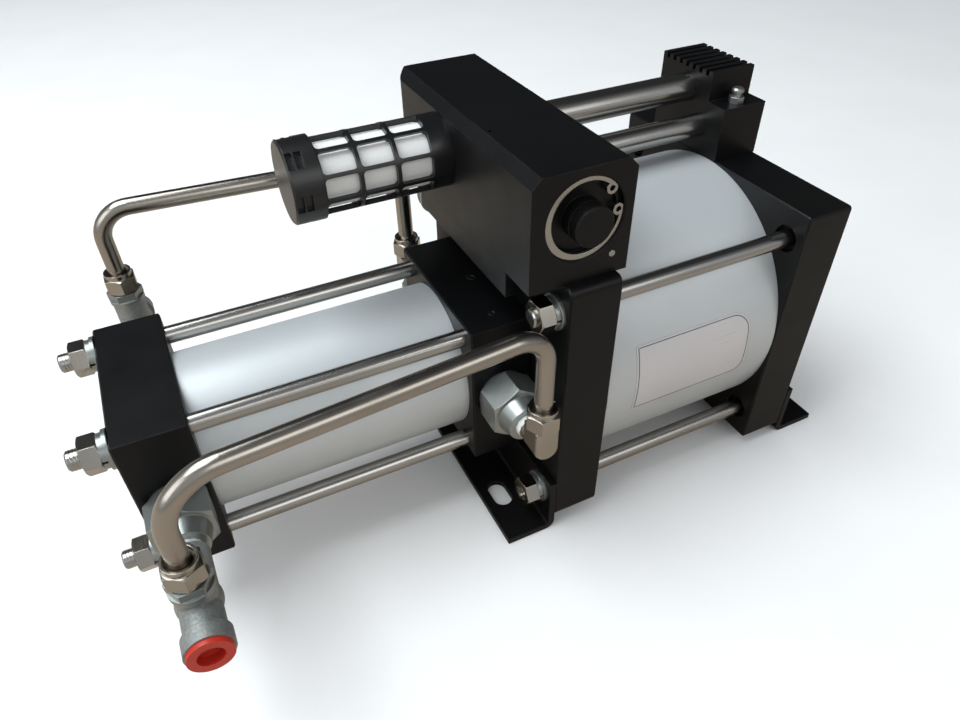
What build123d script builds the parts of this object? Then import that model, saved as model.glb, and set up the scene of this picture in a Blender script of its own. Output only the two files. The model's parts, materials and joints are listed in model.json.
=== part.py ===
from build123d import *
from math import cos, radians, sin
import os

# Air-driven gas booster pump: a large air piston drives a smaller gas piston on one rod.
# Millimetres. Z = 0 is the surface the feet stand on, and +Z is up.
# X runs along the pump: gas cylinder at -X, air cylinder at +X. The front is -Y.
# The origin is midway between the two slots of the centre foot.

os.makedirs("parts", exist_ok=True)

# Clearances
seat_gap = 0.05  # radial, for spigots, screws, plugs and tubes in their holes
running_gap = 0.05  # radial, for shafts and seals that slide
piston_gap = 0.3  # radial, between a piston and its barrel
bolt_gap = 0.3  # radial, for rods and screws that pass through a piece
screw_well_gap = 0.6  # radial, round the centre block's screws in the drive head
face_gap = 0.1  # between end faces that meet when a moving piece comes home

# Feet: two bent plates
axis_height = 94.0
foot_setback = 20.0
foot_length = 32.0
foot_height = 40.0
foot_plate = 4.0
foot_bend = 2.0
foot_slot_spacing = 98.0
foot_slot_width = 12.0
foot_slot_length = 21.0
foot_screw_y = 45.0
foot_screw_z = 26.0
foot_screw_radius = 4.0
foot_screw_length = 20.0
foot_screw_across_flats = 13.0
foot_screw_head = 5.3

# Air cylinder
drive_bore = 160.0
drive_wall = 4.5
drive_block = 170.0
drive_head_length = 30.0
drive_cap_length = 31.0
drive_barrel_length = 121.0
drive_spigot = 6.0
drive_rod_y = 72.0
drive_rod_z = 66.0
head_edge_radius = 5.0
cap_edge_radius = 2.0
block_chamfer = 0.8

# Gas cylinder
boost_bore = 80.0
boost_wall = 4.0
boost_width = 98.0
boost_height = 94.0
centre_block_length = 37.0
boost_cap_length = 35.0
boost_barrel_length = 145.0
boost_spigot = 14.0
boost_rod_offset = 38.5

# Tie rods and their nuts
tie_rod_radius = 5.0
drive_rod_grip = 18.0
boost_rod_grip = 20.0
boost_rod_protrusion = 6.4
drive_rod_protrusion = 2.0
thread_relief_radius = 8.0
thread_relief_depth = 4.0
nut_across_flats = 17.0
nut_height = 8.4
washer_radius = 10.0
washer_thickness = 2.0
lock_washer_radius = 8.8
lock_washer_thickness = 2.5
lock_washer_gap = 1.5

# Barrel and rod seals, and rod bushes
barrel_seal_depth = 2.6
barrel_seal_width = 3.0
barrel_seal_setback = 1.5
piston_rod_radius = 12.5
rod_bore_clearance = 0.5
bush_wall = 2.5
bush_length = 20.0
bush_recess = 1.0
rod_seal_depth = 4.5
rod_seal_width = 6.0
rod_seal_setback = 4.0

# Pistons
drive_piston_length = 22.0
boost_piston_length = 30.0
piston_chamfer = 1.0
piston_seal_width = 5.0
drive_seal_depth = 5.0
boost_seal_depth = 4.0
piston_seal_margin = 3.5
piston_thread_radius = 8.0
piston_nut_across_flats = 24.0
piston_nut_height = 13.0
piston_nut_pocket = 18.0
piston_nut_pocket_depth = 14.0
rod_end_length = 2.0

# Screws that hold the centre block to the drive head, put in from the air chamber
block_screw_offset = 30.0
block_screw_radius = 4.0
block_screw_head_radius = 6.5
block_screw_head = 8.0
block_screw_recess = 1.0
block_screw_grip = 16.0
screw_socket_across_flats = 6.0
screw_socket_depth = 4.0

# Pilot valves in the drive head and end cap
pilot_y = -50.0
pilot_z = 20.0
pilot_guide_radius = 8.0
pilot_guide_length = 12.0
pilot_chamber_radius = 6.5
pilot_depth = 30.0
stem_radius = 4.0
stem_protrusion = 3.0
stem_collar_radius = 6.0
stem_collar = 4.0
stem_tail_radius = 3.0
stem_tail = 10.4

# Air passages
air_port_radius = 6.0
air_port_height = 66.0
head_port_x = 35.0
head_port_y = -20.0
port_floor = 2.0

# Spool valve on top of the drive head
valve_overhang = 20.0
valve_depth = 55.0
valve_front = 78.5
valve_rear = 81.5
valve_height = 59.0
valve_chamfer = 5.0
valve_corner_radius = 8.0
valve_bore_x = 29.0
valve_bore_height = 33.0
spool_radius = 17.0
plug_radius = 21.0
plug_length = 11.3
plug_rim = 2.6
plug_floor = 1.8
plug_knob_radius = 10.3
plug_knob_reach = 7.9
plug_groove_reach = 1.2
plug_groove_width = 0.9
plug_groove_depth = 0.8
plug_mouth_chamfer = 0.7
circlip_depth = 1.2
circlip_thickness = 2.0
circlip_inner_radius = 18.4
circlip_taper = 0.8
circlip_groove = 1.3
circlip_opening = 40.0
circlip_direction = 22.0
circlip_lug_radius = 3.0
circlip_hole_radius = 1.4
gallery_pitch = 22.0
gallery_width = 12.0
gallery_depth = 3.0
gallery_count = 5
land_width = 10.0
spool_shaft_radius = 11.0
spool_travel = 12.0

# Manifold bar under the valve's overhang
bar_height = 15.0
bar_half_width = 55.0
bar_screw_x = 10.0
bar_screw_y = 40.0
bar_screw_radius = 3.0
bar_screw_head_radius = 5.0
bar_screw_head = 6.0
bar_screw_grip = 11.0

# Exhaust muffler on the valve's left face
muffler_y = 21.0
muffler_height = 34.0
muffler_length = 85.0
muffler_radius = 19.5
muffler_wall = 3.0
muffler_collar = 11.0
muffler_cap_radius = 21.25
muffler_cap_length = 16.0
muffler_cap_floor = 10.0
muffler_rows = 9
muffler_first_row = 19.0
muffler_columns = 3
muffler_window_margin = 0.6
muffler_rib = 2.0
muffler_window_corner = 2.0
muffler_element_wall = 5.0
muffler_thread_radius = 10.5
muffler_thread_length = 10.0
muffler_bore_radius = 6.0
muffler_slots = 6
muffler_first_slot = 9.0
muffler_slot_length = 8.0
muffler_slot_width = 9.0
muffler_slot_depth = 2.5
muffler_slot_margin = 1.0
muffler_slot_rib = 1.0

# Port block on the end cap and the two air tubes to it
lower_tube_radius = 7.0
lower_tube_y = 15.0
lower_tube_height = 16.5
upper_tube_radius = 8.5
upper_tube_y = 30.5
upper_tube_height = 35.0
air_tube_wall = 1.5
air_tube_socket = 8.0
port_step_front = -5.0
port_step_rear = 10.0
port_step_height = 32.0
port_block_rear = 57.0
port_block_height = 49.0
fin_count = 8
fin_depth = 3.0
fin_gap = 2.8
air_inlet_radius = 9.3
air_inlet_depth = 14.0
vent_x = 14.5
vent_y = 2.5
vent_across_flats = 8.0
vent_hex = 3.6
vent_neck_radius = 2.6
vent_neck = 2.4
vent_cap_radius = 3.6
vent_cap = 2.6
vent_thread_radius = 3.0
vent_thread = 8.0

# Check valves on the gas cylinder's blocks
check_collar = 2.0
check_collar_radius = 14.5
check_across_flats = 30.0
check_hex = 19.0
check_neck = 9.0
check_shoulder_radius = 13.0
check_end_radius = 10.8
check_thread_radius = 10.5
check_thread = 14.0
check_chamber_radius = 8.0
check_chamber_end = 12.0
check_seat = 5.0
check_outlet_radius = 4.5
gas_port_y = 25.0
gas_port_radius = 4.0
poppet_gap = 0.4
poppet_disc = 3.0
poppet_stem_radius = 3.4
poppet_stem = 11.5

# Springs of square wire
spring_wire = 1.1
spring_turns = 3
check_spring_radius = 5.2
pilot_spring_radius = 4.4

# Gas fittings
fitting_thread_radius = 6.6
fitting_thread = 9.0
shown_thread = 4.0
tee_arm = 31.0
tee_reach = 26.0
tee_radius = 9.4
tee_centre_radius = 10.6
tee_collar_radius = 11.0
tee_collar = 8.0
tee_bore_radius = 6.0
tee_port_radius = 7.5
tee_port_depth = 12.0
outlet_branch_top = 12.0
inlet_branch_top = 24.0
elbow_arm = 16.0
elbow_arm_radius = 6.4
elbow_across_flats = 14.0
elbow_edge_radius = 2.5
elbow_top = 14.0
connector_flange_radius = 10.2
connector_flange = 3.0
connector_across_flats = 18.0
connector_hex = 4.5
connector_thread = 10.0
nose_radius = 6.8
nose_length = 7.0
tube_socket = 8.0
tube_nut_across_flats = 17.0
tube_nut_height = 12.5
tube_nut_collar = 3.0
tube_nut_collar_radius = 7.9
tube_nut_countersink = 1.6
tube_nut_gap = 0.5

# Gas tubes
tube_radius = 5.0
tube_wall = 1.0
outlet_run_height = 75.0
outlet_first_bend = 28.0
outlet_second_bend = 18.0
inlet_run_height = 84.0
inlet_bend = 19.0

# Protective plug in the gas outlet
outlet_plug_radius = 10.0
outlet_plug_flange = 2.5
outlet_plug_stub = 8.0
outlet_plug_gap = 0.1
outlet_plug_dish = 5.9
outlet_plug_dish_depth = 5.0

# Stations along the pump
head_x0 = foot_setback
head_x1 = head_x0 + drive_head_length
cap_x0 = head_x1 + drive_barrel_length
cap_x1 = cap_x0 + drive_cap_length
centre_x0 = head_x0 - centre_block_length
boost_cap_x1 = centre_x0 - boost_barrel_length
boost_cap_x0 = boost_cap_x1 - boost_cap_length
head_face = head_x1 + drive_spigot
cap_face = cap_x0 - drive_spigot
centre_face = centre_x0 - boost_spigot
boost_cap_face = boost_cap_x1 + boost_spigot
drive_piston_x = (head_face + cap_face - drive_piston_length) / 2
boost_piston_x = (centre_face + boost_cap_face - boost_piston_length) / 2
block_top = axis_height + drive_block / 2
drive_bore_radius = drive_bore / 2
boost_bore_radius = boost_bore / 2
centre_check_x = centre_x0 + centre_block_length / 2
boost_check_x = boost_cap_x0 + boost_cap_length / 2
check_reach = check_collar + check_hex + check_neck
fitting_start = boost_width / 2 + check_reach
tee_axis = fitting_start + tee_arm
port_end = tee_axis + tee_reach
elbow_axis = fitting_start + elbow_arm
valve_x0 = head_x0 - valve_overhang
valve_x1 = valve_x0 + valve_depth
valve_bore_z = block_top + valve_bore_height
valve_middle = (valve_rear - valve_front) / 2
plug_depth = circlip_depth + circlip_thickness + plug_length
stack_height = washer_thickness + lock_washer_thickness + nut_height
pilot_height = axis_height + pilot_z


def cross_plane(x):
    """Plane across the pump at station x: its x is +Y, its y is +Z and it faces +X."""
    return Plane(origin=(x, 0, axis_height), x_dir=(0, 1, 0), z_dir=(1, 0, 0))


def side_plane(side, x, distance, z):
    """Plane facing outwards at the front (side -1) or the rear (side +1), with its y up."""
    return Plane(origin=(x, side * distance, z), x_dir=(-side, 0, 0), z_dir=(0, side, 0))


def pilot_plane(x, direction):
    """Plane on a pilot valve's axis, facing into the air chamber."""
    return Plane(origin=(x, pilot_y, pilot_height), x_dir=(0, 1, 0), z_dir=(direction, 0, 0))


def up_plane(x, y, z):
    """Level plane with its origin at a point, facing up."""
    return Plane(origin=(x, y, z))


def disc(plane, radius, length, mode=Mode.ADD):
    """Round bar that stands on a plane."""
    with BuildSketch(plane) as outline:
        Circle(radius)
    extrude(outline.sketch, amount=length, mode=mode)


def ring(plane, outer, inner, length, mode=Mode.ADD):
    """Tube that stands on a plane."""
    with BuildSketch(plane) as outline:
        Circle(outer)
        Circle(inner, mode=Mode.SUBTRACT)
    extrude(outline.sketch, amount=length, mode=mode)


def hexagon(plane, across_flats, length, mode=Mode.ADD, turn=0):
    """Hexagonal bar that stands on a plane."""
    with BuildSketch(plane) as outline:
        RegularPolygon(across_flats / 2, 6, major_radius=False, rotation=turn)
    extrude(outline.sketch, amount=length, mode=mode)


def turned_hexagon(plane, across_flats, height, turn=0):
    """Hexagonal bar that stands on a plane, its corners turned down at both ends."""
    corner_radius = across_flats / 3**0.5
    bevel = corner_radius - across_flats / 2
    hexagon(plane, across_flats, height, turn=turn)
    axial = plane.x_dir
    profile_plane = Plane(origin=plane.origin, x_dir=axial, z_dir=axial.cross(plane.z_dir))
    with BuildSketch(profile_plane) as turning:
        with BuildLine():
            Polyline(
                (0, 0),
                (corner_radius - bevel, 0),
                (corner_radius, bevel / 2),
                (corner_radius, height - bevel / 2),
                (corner_radius - bevel, height),
                (0, height),
                close=True,
            )
        make_face()
    revolve(turning.sketch, axis=Axis(plane.origin, plane.z_dir), mode=Mode.INTERSECT)


def hex_nut(plane, across_flats, height, hole_radius):
    """Nut that stands on a plane."""
    turned_hexagon(plane, across_flats, height)
    disc(plane, hole_radius, height, Mode.SUBTRACT)


def coil_spring(plane, length, mean_radius, turns):
    """Helical spring of square wire that stands on a plane."""
    rise = length - spring_wire
    base = plane.origin + plane.z_dir * (spring_wire / 2)
    with BuildLine() as coil:
        Helix(
            pitch=rise / turns,
            height=rise,
            radius=mean_radius,
            center=base,
            direction=plane.z_dir,
        )
    start = coil.line @ 0
    with BuildSketch(Plane(origin=start, x_dir=start - base, z_dir=coil.line % 0)) as wire:
        Rectangle(spring_wire, spring_wire)
    sweep(wire.sketch, path=coil.line, is_frenet=True)


def soften_ends():
    """Break the long edges of a block's two end faces."""
    end_edges = edges().group_by(Axis.X)[0] + edges().group_by(Axis.X)[-1]
    chamfer(end_edges, length=block_chamfer)


def screw_places(offset):
    """The four points of a square pattern round the pump axis."""
    return GridLocations(2 * offset, 2 * offset, 2, 2)


def drive_rod_places():
    """The four tie rods of the air cylinder."""
    return GridLocations(2 * drive_rod_y, 2 * drive_rod_z, 2, 2)


def pilot_bore(face_x, direction):
    """Stepped hole for a pilot valve, drilled from the air chamber."""
    face = pilot_plane(face_x, direction)
    disc(face, pilot_guide_radius + seat_gap, -pilot_guide_length, Mode.SUBTRACT)
    disc(face, pilot_chamber_radius, -pilot_depth, Mode.SUBTRACT)


def rod_bore(face_x, direction, open_x):
    """Piston rod's hole: a seal groove behind the chamber face and a bush seat at the other end."""
    length = abs(open_x - face_x)
    face = Plane(origin=(face_x, 0, axis_height), x_dir=(0, 1, 0), z_dir=(direction, 0, 0))
    disc(face, piston_rod_radius + rod_bore_clearance, -length, Mode.SUBTRACT)
    groove = face.offset(-rod_seal_setback - rod_seal_width)
    disc(groove, piston_rod_radius + rod_seal_depth, rod_seal_width, Mode.SUBTRACT)
    bush_seat = face.offset(-length)
    bush_depth = bush_recess + bush_length
    disc(bush_seat, piston_rod_radius + bush_wall, bush_depth, Mode.SUBTRACT)


# Drive head: the air cylinder's block next to the centre block
with BuildPart() as drive_head:
    with BuildSketch(cross_plane(head_x0)):
        RectangleRounded(drive_block, drive_block, head_edge_radius)
    extrude(amount=drive_head_length)
    soften_ends()
    disc(cross_plane(head_x1), drive_bore_radius - seat_gap, drive_spigot)
    ring(
        cross_plane(head_face - barrel_seal_setback - barrel_seal_width),
        drive_bore_radius,
        drive_bore_radius - barrel_seal_depth,
        barrel_seal_width,
        Mode.SUBTRACT,
    )
    rod_bore(head_face, 1, head_x0)
    with Locations(cross_plane(head_x1)):
        with drive_rod_places():
            Hole(tie_rod_radius + bolt_gap, depth=drive_head_length)
    with Locations(cross_plane(head_face)):
        with screw_places(block_screw_offset):
            CounterBoreHole(
                radius=block_screw_radius + screw_well_gap,
                counter_bore_radius=block_screw_head_radius + screw_well_gap,
                counter_bore_depth=block_screw_head + block_screw_recess,
                depth=head_face - head_x0,
            )
    pilot_bore(head_face, 1)
    passage_floor = axis_height + air_port_height
    disc(
        up_plane(head_port_x, head_port_y, passage_floor),
        air_port_radius,
        block_top - passage_floor,
        Mode.SUBTRACT,
    )
    entry = Plane(origin=(head_face, head_port_y, passage_floor), z_dir=(1, 0, 0))
    disc(entry, air_port_radius, head_port_x - head_face, Mode.SUBTRACT)
drive_head.part.label = "drive_head"
export_step(drive_head.part, "parts/drive_head.step")

# Drive end cap: the air cylinder's right block
cap_port_x = cap_x0 + drive_cap_length / 2
with BuildPart() as drive_end_cap:
    with BuildSketch(cross_plane(cap_x0)):
        RectangleRounded(drive_block, drive_block, cap_edge_radius)
    extrude(amount=drive_cap_length)
    soften_ends()
    disc(cross_plane(cap_face), drive_bore_radius - seat_gap, drive_spigot)
    ring(
        cross_plane(cap_face + barrel_seal_setback),
        drive_bore_radius,
        drive_bore_radius - barrel_seal_depth,
        barrel_seal_width,
        Mode.SUBTRACT,
    )
    disc(cross_plane(cap_face), piston_nut_pocket, piston_nut_pocket_depth, Mode.SUBTRACT)
    with BuildSketch(cross_plane(cap_x0)):
        with drive_rod_places():
            Circle(tie_rod_radius + seat_gap)
    extrude(amount=drive_rod_grip, mode=Mode.SUBTRACT)
    with BuildSketch(cross_plane(cap_x0)):
        with drive_rod_places():
            Circle(thread_relief_radius)
    extrude(amount=thread_relief_depth, mode=Mode.SUBTRACT)
    with BuildSketch(cross_plane(cap_x1)):
        with Locations((0, foot_screw_z - axis_height)):
            with GridLocations(2 * foot_screw_y, 0, 2, 1):
                Circle(foot_screw_radius + seat_gap)
    extrude(amount=-foot_screw_length, mode=Mode.SUBTRACT)
    pilot_bore(cap_face, -1)
    disc(
        up_plane(cap_port_x, lower_tube_y, passage_floor),
        air_port_radius,
        block_top - passage_floor,
        Mode.SUBTRACT,
    )
    entry = Plane(origin=(cap_face, lower_tube_y, passage_floor), z_dir=(1, 0, 0))
    disc(entry, air_port_radius, cap_port_x - cap_face, Mode.SUBTRACT)
drive_end_cap.part.label = "drive_end_cap"
export_step(drive_end_cap.part, "parts/drive_end_cap.step")

with BuildPart() as drive_barrel:
    ring(
        cross_plane(head_x1),
        drive_bore_radius + drive_wall,
        drive_bore_radius,
        drive_barrel_length,
    )
drive_barrel.part.label = "drive_barrel"
export_step(drive_barrel.part, "parts/drive_barrel.step")


def gas_passage(face_x, direction, valve_x):
    """Check valve seats in a block's front and rear, and the drillings to the gas chamber."""
    for side in (-1, 1):
        with Locations(side_plane(side, valve_x, boost_width / 2, axis_height)):
            Hole(check_thread_radius + seat_gap, depth=check_thread)
            Hole(gas_port_radius, depth=boost_width / 2 - gas_port_y)
        entry = (face_x, side * gas_port_y, axis_height)
        with Locations(Plane(origin=entry, z_dir=(direction, 0, 0))):
            Hole(gas_port_radius, depth=abs(valve_x - face_x))


# Centre block: right end of the gas cylinder, bolted to the drive head
with BuildPart() as centre_block:
    with BuildSketch(cross_plane(centre_x0)):
        Rectangle(boost_width, boost_height)
    extrude(amount=centre_block_length)
    soften_ends()
    disc(cross_plane(centre_face), boost_bore_radius - seat_gap, boost_spigot)
    ring(
        cross_plane(centre_face + barrel_seal_setback),
        boost_bore_radius,
        boost_bore_radius - barrel_seal_depth,
        barrel_seal_width,
        Mode.SUBTRACT,
    )
    rod_bore(centre_face, -1, head_x0)
    with BuildSketch(cross_plane(centre_x0)):
        with screw_places(boost_rod_offset):
            Circle(tie_rod_radius + seat_gap)
    extrude(amount=boost_rod_grip, mode=Mode.SUBTRACT)
    with BuildSketch(cross_plane(head_x0)):
        with screw_places(block_screw_offset):
            Circle(block_screw_radius + seat_gap)
    extrude(amount=-block_screw_grip - port_floor, mode=Mode.SUBTRACT)
    gas_passage(centre_face, -1, centre_check_x)
centre_block.part.label = "centre_block"
export_step(centre_block.part, "parts/centre_block.step")

# Boost end cap: left end of the gas cylinder
with BuildPart() as boost_end_cap:
    with BuildSketch(cross_plane(boost_cap_x0)):
        Rectangle(boost_width, boost_height)
    extrude(amount=boost_cap_length)
    soften_ends()
    disc(cross_plane(boost_cap_x1), boost_bore_radius - seat_gap, boost_spigot)
    ring(
        cross_plane(boost_cap_face - barrel_seal_setback - barrel_seal_width),
        boost_bore_radius,
        boost_bore_radius - barrel_seal_depth,
        barrel_seal_width,
        Mode.SUBTRACT,
    )
    nut_pocket = cross_plane(boost_cap_face)
    disc(nut_pocket, piston_nut_pocket, -piston_nut_pocket_depth, Mode.SUBTRACT)
    with Locations(cross_plane(boost_cap_x1)):
        with screw_places(boost_rod_offset):
            Hole(tie_rod_radius + bolt_gap, depth=boost_cap_length)
    gas_passage(boost_cap_face, 1, boost_check_x)
boost_end_cap.part.label = "boost_end_cap"
export_step(boost_end_cap.part, "parts/boost_end_cap.step")

with BuildPart() as boost_barrel:
    ring(
        cross_plane(boost_cap_x1),
        boost_bore_radius + boost_wall,
        boost_bore_radius,
        boost_barrel_length,
    )
boost_barrel.part.label = "boost_barrel"
export_step(boost_barrel.part, "parts/boost_barrel.step")


def tie_rods(start_x, end_x, places):
    """Four rods with broken ends."""
    with BuildSketch(cross_plane(start_x)) as outline:
        with places:
            Circle(tie_rod_radius)
    extrude(outline.sketch, amount=end_x - start_x)
    rod_ends = edges().filter_by(GeomType.CIRCLE)
    chamfer(rod_ends, length=block_chamfer)


with BuildPart() as drive_tie_rods:
    tie_rods(
        head_x0 - stack_height - drive_rod_protrusion,
        cap_x0 + drive_rod_grip,
        drive_rod_places(),
    )
drive_tie_rods.part.label = "drive_tie_rods"
export_step(drive_tie_rods.part, "parts/drive_tie_rods.step")

with BuildPart() as boost_tie_rods:
    tie_rods(
        boost_cap_x0 - stack_height - boost_rod_protrusion,
        centre_x0 + boost_rod_grip,
        screw_places(boost_rod_offset),
    )
boost_tie_rods.part.label = "boost_tie_rods"
export_step(boost_tie_rods.part, "parts/boost_tie_rods.step")

# Where each tie rod's washer stack starts: station, y and height
boost_seats = [
    (boost_cap_x0, y * boost_rod_offset, axis_height + z * boost_rod_offset)
    for y in (-1, 1)
    for z in (-1, 1)
]
upper_seats = [(head_x0, y * drive_rod_y, axis_height + drive_rod_z) for y in (-1, 1)]
lower_seats = [
    (head_x0 - foot_plate, y * drive_rod_y, axis_height - drive_rod_z) for y in (-1, 1)
]
rod_seats = boost_seats + upper_seats + lower_seats


def seat_plane(seat, height):
    """Plane facing -X, at a height above a tie rod's seat."""
    x, y, z = seat
    return Plane(origin=(x - height, y, z), x_dir=(0, -1, 0), z_dir=(-1, 0, 0))


with BuildPart() as tie_rod_washers:
    for seat in rod_seats:
        ring(
            seat_plane(seat, 0),
            washer_radius,
            tie_rod_radius + bolt_gap,
            washer_thickness,
        )
tie_rod_washers.part.label = "tie_rod_washers"
export_step(tie_rod_washers.part, "parts/tie_rod_washers.step")

with BuildPart() as tie_rod_lock_washers:
    for seat in rod_seats:
        with BuildSketch(seat_plane(seat, washer_thickness)) as split_ring:
            Circle(lock_washer_radius)
            Circle(tie_rod_radius + bolt_gap, mode=Mode.SUBTRACT)
            with Locations((lock_washer_radius, 0)):
                Rectangle(lock_washer_radius, lock_washer_gap, mode=Mode.SUBTRACT)
        extrude(split_ring.sketch, amount=lock_washer_thickness)
tie_rod_lock_washers.part.label = "tie_rod_lock_washers"
export_step(tie_rod_lock_washers.part, "parts/tie_rod_lock_washers.step")

tie_rod_nut_parts = []
for seat in rod_seats:
    with BuildPart() as tie_rod_nut:
        hex_nut(
            seat_plane(seat, washer_thickness + lock_washer_thickness),
            nut_across_flats,
            nut_height,
            tie_rod_radius + seat_gap,
        )
    tie_rod_nut_parts.append(tie_rod_nut.part)
with BuildPart() as tie_rod_nuts:
    add(tie_rod_nut_parts)
tie_rod_nuts.part.label = "tie_rod_nuts"
export_step(tie_rod_nuts.part, "parts/tie_rod_nuts.step")


def foot(corner_x, direction):
    """Bent plate: its upright leg stands against a block and its slotted leg runs outwards."""
    inner_x = corner_x + direction * foot_plate
    end_x = corner_x + direction * foot_length
    with BuildSketch(Plane.XZ) as profile:
        with BuildLine():
            Polyline(
                (corner_x, 0),
                (end_x, 0),
                (end_x, foot_plate),
                (inner_x, foot_plate),
                (inner_x, foot_height),
                (corner_x, foot_height),
                close=True,
            )
        make_face()
        fillet(vertices().sort_by_distance((corner_x, 0))[0], foot_bend + foot_plate)
        fillet(vertices().sort_by_distance((inner_x, foot_plate))[0], foot_bend)
    extrude(profile.sketch, amount=drive_block / 2, both=True)
    slot_x = corner_x + direction * foot_setback
    with BuildSketch(Plane.XY) as slots:
        with Locations((slot_x, 0)):
            with GridLocations(0, foot_slot_spacing, 1, 2):
                SlotOverall(foot_slot_length, foot_slot_width, rotation=90)
    extrude(slots.sketch, amount=foot_plate, mode=Mode.SUBTRACT)


with BuildPart() as centre_foot_bracket:
    foot(head_x0, -1)
    with BuildSketch(cross_plane(head_x0)) as rod_holes:
        with Locations((0, -drive_rod_z)):
            with GridLocations(2 * drive_rod_y, 0, 2, 1):
                Circle(tie_rod_radius + bolt_gap)
    extrude(rod_holes.sketch, amount=-foot_plate, mode=Mode.SUBTRACT)
centre_foot_bracket.part.label = "centre_foot_bracket"
export_step(centre_foot_bracket.part, "parts/centre_foot_bracket.step")

with BuildPart() as end_foot_bracket:
    foot(cap_x1, 1)
    with BuildSketch(cross_plane(cap_x1)) as screw_holes:
        with Locations((0, foot_screw_z - axis_height)):
            with GridLocations(2 * foot_screw_y, 0, 2, 1):
                Circle(foot_screw_radius + bolt_gap)
    extrude(screw_holes.sketch, amount=foot_plate, mode=Mode.SUBTRACT)
end_foot_bracket.part.label = "end_foot_bracket"
export_step(end_foot_bracket.part, "parts/end_foot_bracket.step")

with BuildPart() as end_foot_screws:
    for side in (-1, 1):
        under_head = Plane(
            origin=(cap_x1 + foot_plate, side * foot_screw_y, foot_screw_z),
            z_dir=(1, 0, 0),
        )
        hexagon(under_head, foot_screw_across_flats, foot_screw_head)
        disc(under_head, foot_screw_radius, -foot_screw_length)
end_foot_screws.part.label = "end_foot_screws"
export_step(end_foot_screws.part, "parts/end_foot_screws.step")

with BuildPart() as centre_block_screws:
    screw_seat = head_face - block_screw_head - block_screw_recess
    with BuildSketch(cross_plane(screw_seat)):
        with screw_places(block_screw_offset):
            Circle(block_screw_head_radius)
    extrude(amount=block_screw_head)
    with BuildSketch(cross_plane(screw_seat)):
        with screw_places(block_screw_offset):
            Circle(block_screw_radius)
    extrude(amount=head_x0 - block_screw_grip - screw_seat)
    with BuildSketch(cross_plane(screw_seat + block_screw_head)):
        with screw_places(block_screw_offset):
            RegularPolygon(screw_socket_across_flats / 2, 6, major_radius=False)
    extrude(amount=-screw_socket_depth, mode=Mode.SUBTRACT)
centre_block_screws.part.label = "centre_block_screws"
export_step(centre_block_screws.part, "parts/centre_block_screws.step")

with BuildPart() as rod_bushes:
    for bush_x in (head_x0 + bush_recess, head_x0 - bush_recess - bush_length):
        ring(
            cross_plane(bush_x),
            piston_rod_radius + bush_wall - seat_gap,
            piston_rod_radius + running_gap,
            bush_length,
        )
rod_bushes.part.label = "rod_bushes"
export_step(rod_bushes.part, "parts/rod_bushes.step")

with BuildPart() as rod_seals:
    for seal_x in (
        head_face - rod_seal_setback - rod_seal_width,
        centre_face + rod_seal_setback,
    ):
        ring(
            cross_plane(seal_x + face_gap),
            piston_rod_radius + rod_seal_depth - seat_gap,
            piston_rod_radius + running_gap,
            rod_seal_width - 2 * face_gap,
        )
rod_seals.part.label = "rod_seals"
export_step(rod_seals.part, "parts/rod_seals.step")

barrel_seal_seats = [
    (head_face - barrel_seal_setback - barrel_seal_width, drive_bore_radius),
    (cap_face + barrel_seal_setback, drive_bore_radius),
    (centre_face + barrel_seal_setback, boost_bore_radius),
    (boost_cap_face - barrel_seal_setback - barrel_seal_width, boost_bore_radius),
]
with BuildPart() as barrel_seals:
    for seal_x, bore_radius in barrel_seal_seats:
        ring(
            cross_plane(seal_x + face_gap),
            bore_radius - seat_gap,
            bore_radius - barrel_seal_depth + seat_gap,
            barrel_seal_width - 2 * face_gap,
        )
barrel_seals.part.label = "barrel_seals"
export_step(barrel_seals.part, "parts/barrel_seals.step")


def piston(start_x, length, bore_radius, seal_depth):
    """Piston with two seal grooves and the rod's thread hole."""
    disc(cross_plane(start_x), bore_radius - piston_gap, length)
    chamfer(edges().filter_by(GeomType.CIRCLE), length=piston_chamfer)
    disc(cross_plane(start_x), piston_thread_radius + seat_gap, length, Mode.SUBTRACT)
    for seal_x in piston_seal_stations(start_x, length):
        ring(
            cross_plane(seal_x),
            bore_radius,
            bore_radius - seal_depth,
            piston_seal_width,
            Mode.SUBTRACT,
        )


def piston_seal_stations(start_x, length):
    """Where a piston's two seal grooves start."""
    last = start_x + length - piston_seal_margin - piston_seal_width
    return (start_x + piston_seal_margin, last)


def piston_seals(start_x, length, bore_radius, seal_depth):
    """The two seals that fill a piston's grooves and slide on the barrel."""
    for seal_x in piston_seal_stations(start_x, length):
        ring(
            cross_plane(seal_x + face_gap),
            bore_radius - running_gap,
            bore_radius - seal_depth + seat_gap,
            piston_seal_width - 2 * face_gap,
        )


with BuildPart() as drive_piston:
    piston(drive_piston_x, drive_piston_length, drive_bore_radius, drive_seal_depth)
drive_piston.part.label = "drive_piston"
export_step(drive_piston.part, "parts/drive_piston.step")

with BuildPart() as drive_piston_seals:
    piston_seals(drive_piston_x, drive_piston_length, drive_bore_radius, drive_seal_depth)
drive_piston_seals.part.label = "drive_piston_seals"
export_step(drive_piston_seals.part, "parts/drive_piston_seals.step")

with BuildPart() as boost_piston:
    piston(boost_piston_x, boost_piston_length, boost_bore_radius, boost_seal_depth)
boost_piston.part.label = "boost_piston"
export_step(boost_piston.part, "parts/boost_piston.step")

with BuildPart() as boost_piston_seals:
    piston_seals(boost_piston_x, boost_piston_length, boost_bore_radius, boost_seal_depth)
boost_piston_seals.part.label = "boost_piston_seals"
export_step(boost_piston_seals.part, "parts/boost_piston_seals.step")

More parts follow.
